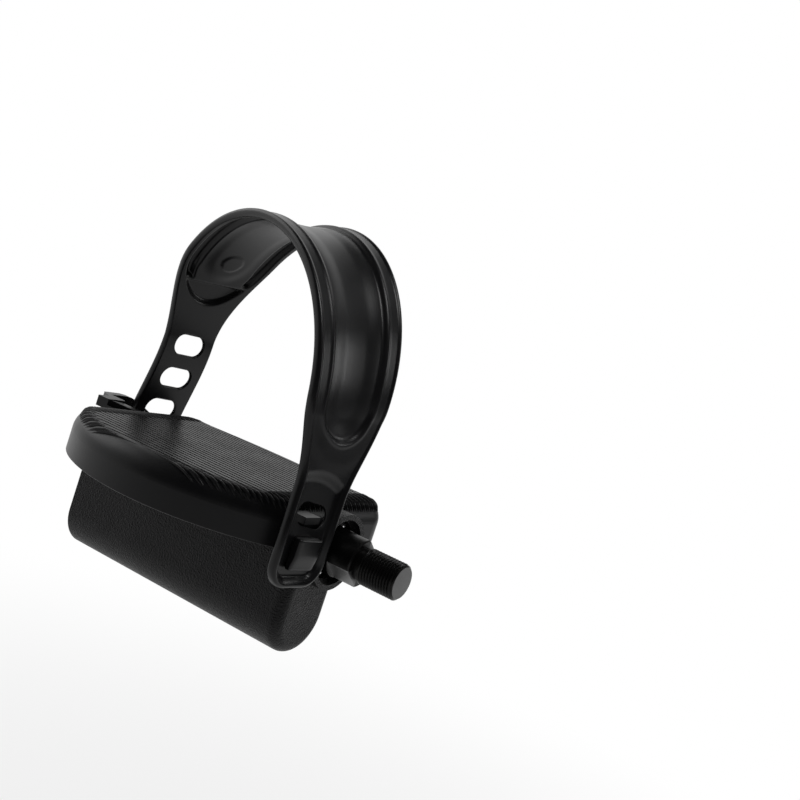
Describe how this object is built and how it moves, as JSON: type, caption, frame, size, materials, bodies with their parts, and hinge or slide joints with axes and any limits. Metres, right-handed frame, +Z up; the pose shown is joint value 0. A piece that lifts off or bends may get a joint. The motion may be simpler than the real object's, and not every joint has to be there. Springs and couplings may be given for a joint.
{
  "type": "exercise bike pedal",
  "caption": "Weighted footplate pedal with a ribbed tread, a moulded toe strap on hooks and a ball-bearing spindle that screws into the crank.",
  "frame": {"origin": "on the spindle's axis, where the crank thread starts beside the collar's shoulder", "axes": "+X out along the crank thread, +Z up from the tread with the footplate level, -Y the side where the plate overhangs the spindle most"},
  "size_m": [0.1613, 0.1007, 0.163],
  "materials": {
    "plate_plastic": "semi-gloss moulded black",
    "housing_plastic": "fine-grained black",
    "cap_plastic": "semi-gloss moulded black",
    "weight_iron": "raw",
    "screw_steel": "zinc plated",
    "strap_plastic": "satin flexible moulding",
    "spindle_steel": "blackened, oiled",
    "bearing_steel": "ground",
    "ball_steel": "polished"
  },
  "bodies": {
    "spindle": {"spindle": "spindle_steel", "adjusting_cone": "bearing_steel", "lock_washer": "screw_steel", "lock_nut": "screw_steel"},
    "pedal": {"footplate": "plate_plastic", "lower_housing": "housing_plastic", "end_cap": "cap_plastic", "counterweight": "weight_iron", "housing_screws": "screw_steel", "strap": "strap_plastic", "inner_cup": "bearing_steel", "outer_cup": "bearing_steel"},
    "inner_ball_ring": {"inner_balls": "ball_steel"},
    "outer_ball_ring": {"outer_balls": "ball_steel"}
  },
  "joints": [
    {"name": "pedal_spin", "type": "hinge", "parent": "spindle", "child": "pedal", "pos_m": [-0.0746, 0, 0], "axis": [1, 0, 0], "continuous": true},
    {"name": "inner_balls_roll", "type": "hinge", "parent": "spindle", "child": "inner_ball_ring", "pos_m": [-0.0195, 0, 0], "axis": [1, 0, 0], "continuous": true},
    {"name": "outer_balls_roll", "type": "hinge", "parent": "spindle", "child": "outer_ball_ring", "pos_m": [-0.1165, 0, 0], "axis": [1, 0, 0], "continuous": true}
  ],
  "couplings": [
    {"joint": "inner_balls_roll", "follows": "pedal_spin", "ratio": 0.572},
    {"joint": "outer_balls_roll", "follows": "pedal_spin", "ratio": 0.592}
  ]
}
